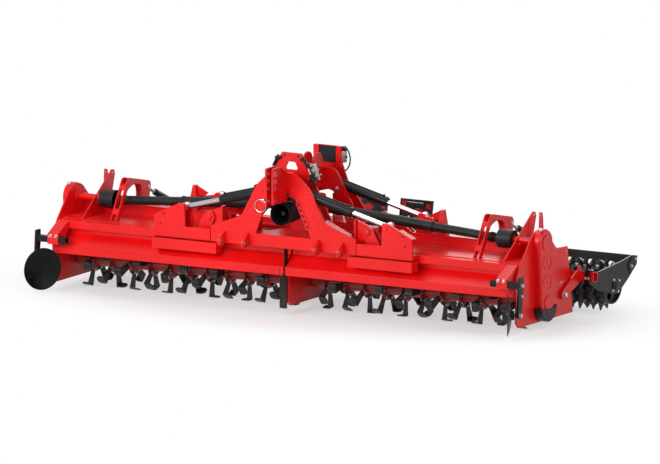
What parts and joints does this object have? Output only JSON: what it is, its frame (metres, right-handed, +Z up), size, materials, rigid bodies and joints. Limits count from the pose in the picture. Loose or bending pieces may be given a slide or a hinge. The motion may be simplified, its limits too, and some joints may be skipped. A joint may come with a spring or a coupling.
{
  "type": "folding rotary tiller",
  "caption": "Folding tractor-mounted rotary tiller: two hooded rotor wings hinged to a centre frame with gearbox, fold cylinders, edge discs and toothed rear packer rollers.",
  "frame": {"origin": "floor point under the middle of the machine's overall box", "axes": "+X to the machine's left across its width, +Y to the rear, +Z up"},
  "size_m": [5.492, 2.4744, 1.537],
  "materials": {
    "red_paint": "gloss red paint",
    "black_paint": "satin black paint",
    "chrome_rod": "polished chrome",
    "bright_steel": "bare machined steel",
    "black_plastic": "matte black plastic"
  },
  "bodies": {
    "centre_frame": {"front_beam": "red_paint", "hitch_lugs": "red_paint", "a_frame": "red_paint", "mast": "red_paint", "top_link_bracket": "red_paint", "deck": "red_paint", "rear_beam": "red_paint", "side_frames": "red_paint", "gearbox": "red_paint", "pto_guard": "black_plastic", "pto_shaft": "bright_steel", "rear_tower": "red_paint", "tower_panel": "black_plastic", "centre_tine": "black_paint"},
    "wing_left": {"hood_left": "red_paint", "side_plates_left": "red_paint", "crossbeams_left": "red_paint", "towers_left": "red_paint", "tray_left": "red_paint", "brackets_left": "red_paint", "gearcase_left": "red_paint", "shaft_cone_left": "black_plastic", "disc_bracket_left": "red_paint", "disc_post_left": "black_paint"},
    "roller_frame_left": {"roller_arms_left": "red_paint", "end_plates_left": "black_paint", "scraper_beam_left": "black_paint", "light_board_left": "black_plastic"},
    "rotor_left": {"rotor_left": "red_paint"},
    "roller_left": {"roller_left": "black_paint"},
    "disc_left": {"disc_left": "black_paint"},
    "fold_barrels_left": {"fold_barrels_left": "black_paint"},
    "fold_rods_left": {"fold_rods_left": "chrome_rod"},
    "shaft_inner_left": {"shaft_inner_left": "black_plastic"},
    "shaft_outer_left": {"shaft_outer_left": "black_plastic"},
    "depth_barrel_left": {"depth_barrel_left": "black_paint"},
    "depth_rod_left": {"depth_rod_left": "chrome_rod"},
    "wing_right": {"hood_right": "red_paint", "side_plates_right": "red_paint", "crossbeams_right": "red_paint", "towers_right": "red_paint", "tray_right": "red_paint", "brackets_right": "red_paint", "gearcase_right": "red_paint", "shaft_cone_right": "black_plastic", "disc_bracket_right": "red_paint", "disc_post_right": "black_paint"},
    "roller_frame_right": {"roller_arms_right": "red_paint", "end_plates_right": "black_paint", "scraper_beam_right": "black_paint", "light_board_right": "black_plastic"},
    "rotor_right": {"rotor_right": "red_paint"},
    "roller_right": {"roller_right": "black_paint"},
    "disc_right": {"disc_right": "black_paint"},
    "fold_barrels_right": {"fold_barrels_right": "black_paint"},
    "fold_rods_right": {"fold_rods_right": "chrome_rod"},
    "shaft_inner_right": {"shaft_inner_right": "black_plastic"},
    "shaft_outer_right": {"shaft_outer_right": "black_plastic"},
    "depth_barrel_right": {"depth_barrel_right": "black_paint"},
    "depth_rod_right": {"depth_rod_right": "chrome_rod"}
  },
  "joints": [
    {"name": "fold_left", "type": "hinge", "parent": "centre_frame", "child": "wing_left", "pos_m": [0.87, -0.53421, 0.85], "axis": [0, -1, 0], "range_deg": [0, 90]},
    {"name": "rotor_spin_left", "type": "hinge", "parent": "wing_left", "child": "rotor_left", "pos_m": [1.28, -0.39921, 0.265], "axis": [1, 0, 0], "continuous": true},
    {"name": "disc_spin_left", "type": "hinge", "parent": "wing_left", "child": "disc_left", "pos_m": [2.547, -1.06221, 0.239], "axis": [0.866, 0.5, 0], "continuous": true},
    {"name": "roller_depth_left", "type": "hinge", "parent": "wing_left", "child": "roller_frame_left", "pos_m": [1.28, -0.02021, 0.283], "axis": [1, 0, 0], "range_deg": [0, 14]},
    {"name": "roller_spin_left", "type": "hinge", "parent": "roller_frame_left", "child": "roller_left", "pos_m": [1.32, 0.82436, 0.25], "axis": [1, 0, 0], "continuous": true},
    {"name": "fold_barrel_swing_left", "type": "hinge", "parent": "centre_frame", "child": "fold_barrels_left", "pos_m": [0.1, -0.53421, 1.195], "axis": [0, -1, 0], "range_deg": [0, 6.26]},
    {"name": "fold_rod_slide_left", "type": "slide", "parent": "fold_barrels_left", "child": "fold_rods_left", "axis": [0.968, 0, -0.2508], "range_m": [-0.35329, 0]},
    {"name": "shaft_swing_left", "type": "hinge", "parent": "centre_frame", "child": "shaft_inner_left", "pos_m": [0.229, -0.42421, 0.975], "axis": [0, -1, 0], "range_deg": [0, 62.77]},
    {"name": "shaft_slide_left", "type": "slide", "parent": "shaft_inner_left", "child": "shaft_outer_left", "axis": [0.9977, 0, -0.0672], "range_m": [-0.59243, 0]},
    {"name": "depth_barrel_swing_left", "type": "hinge", "parent": "roller_frame_left", "child": "depth_barrel_left", "pos_m": [1.9905, 0.38492, 0.73007], "axis": [1, 0, 0], "range_deg": [-9.47, 0]},
    {"name": "depth_rod_slide_left", "type": "slide", "parent": "depth_barrel_left", "child": "depth_rod_left", "axis": [0, -0.9132, 0.4076], "range_m": [-0.14317, 0]},
    {"name": "fold_right", "type": "hinge", "parent": "centre_frame", "child": "wing_right", "pos_m": [-0.87, -0.53421, 0.85], "axis": [0, 1, 0], "range_deg": [0, 90]},
    {"name": "rotor_spin_right", "type": "hinge", "parent": "wing_right", "child": "rotor_right", "pos_m": [-1.28, -0.39921, 0.265], "axis": [1, 0, 0], "continuous": true},
    {"name": "disc_spin_right", "type": "hinge", "parent": "wing_right", "child": "disc_right", "pos_m": [-2.547, -1.06221, 0.239], "axis": [-0.866, 0.5, 0], "continuous": true},
    {"name": "roller_depth_right", "type": "hinge", "parent": "wing_right", "child": "roller_frame_right", "pos_m": [-1.28, -0.02021, 0.283], "axis": [1, 0, 0], "range_deg": [0, 14]},
    {"name": "roller_spin_right", "type": "hinge", "parent": "roller_frame_right", "child": "roller_right", "pos_m": [-1.32, 0.82436, 0.25], "axis": [1, 0, 0], "continuous": true},
    {"name": "fold_barrel_swing_right", "type": "hinge", "parent": "centre_frame", "child": "fold_barrels_right", "pos_m": [-0.1, -0.53421, 1.195], "axis": [0, 1, 0], "range_deg": [0, 6.26]},
    {"name": "fold_rod_slide_right", "type": "slide", "parent": "fold_barrels_right", "child": "fold_rods_right", "axis": [-0.968, 0, -0.2508], "range_m": [-0.35329, 0]},
    {"name": "shaft_swing_right", "type": "hinge", "parent": "centre_frame", "child": "shaft_inner_right", "pos_m": [-0.229, -0.42421, 0.975], "axis": [0, 1, 0], "range_deg": [0, 62.77]},
    {"name": "shaft_slide_right", "type": "slide", "parent": "shaft_inner_right", "child": "shaft_outer_right", "axis": [-0.9977, 0, -0.0672], "range_m": [-0.59243, 0]},
    {"name": "depth_barrel_swing_right", "type": "hinge", "parent": "roller_frame_right", "child": "depth_barrel_right", "pos_m": [-1.9905, 0.38492, 0.73007], "axis": [1, 0, 0], "range_deg": [-9.47, 0]},
    {"name": "depth_rod_slide_right", "type": "slide", "parent": "depth_barrel_right", "child": "depth_rod_right", "axis": [0, -0.9132, 0.4076], "range_m": [-0.14317, 0]}
  ],
  "couplings": [
    {"joint": "fold_barrel_swing_left", "follows": "fold_left", "ratio": 0.069518},
    {"joint": "fold_rod_slide_left", "follows": "fold_left", "m_per_rad": -0.22491},
    {"joint": "shaft_swing_left", "follows": "fold_left", "ratio": 0.69745},
    {"joint": "shaft_slide_left", "follows": "fold_left", "m_per_rad": -0.37715},
    {"joint": "depth_barrel_swing_left", "follows": "roller_depth_left", "ratio": -0.67662},
    {"joint": "depth_rod_slide_left", "follows": "roller_depth_left", "m_per_rad": -0.58592},
    {"joint": "fold_barrel_swing_right", "follows": "fold_right", "ratio": 0.069518},
    {"joint": "fold_rod_slide_right", "follows": "fold_right", "m_per_rad": -0.22491},
    {"joint": "shaft_swing_right", "follows": "fold_right", "ratio": 0.69745},
    {"joint": "shaft_slide_right", "follows": "fold_right", "m_per_rad": -0.37715},
    {"joint": "depth_barrel_swing_right", "follows": "roller_depth_right", "ratio": -0.67662},
    {"joint": "depth_rod_slide_right", "follows": "roller_depth_right", "m_per_rad": -0.58592}
  ]
}
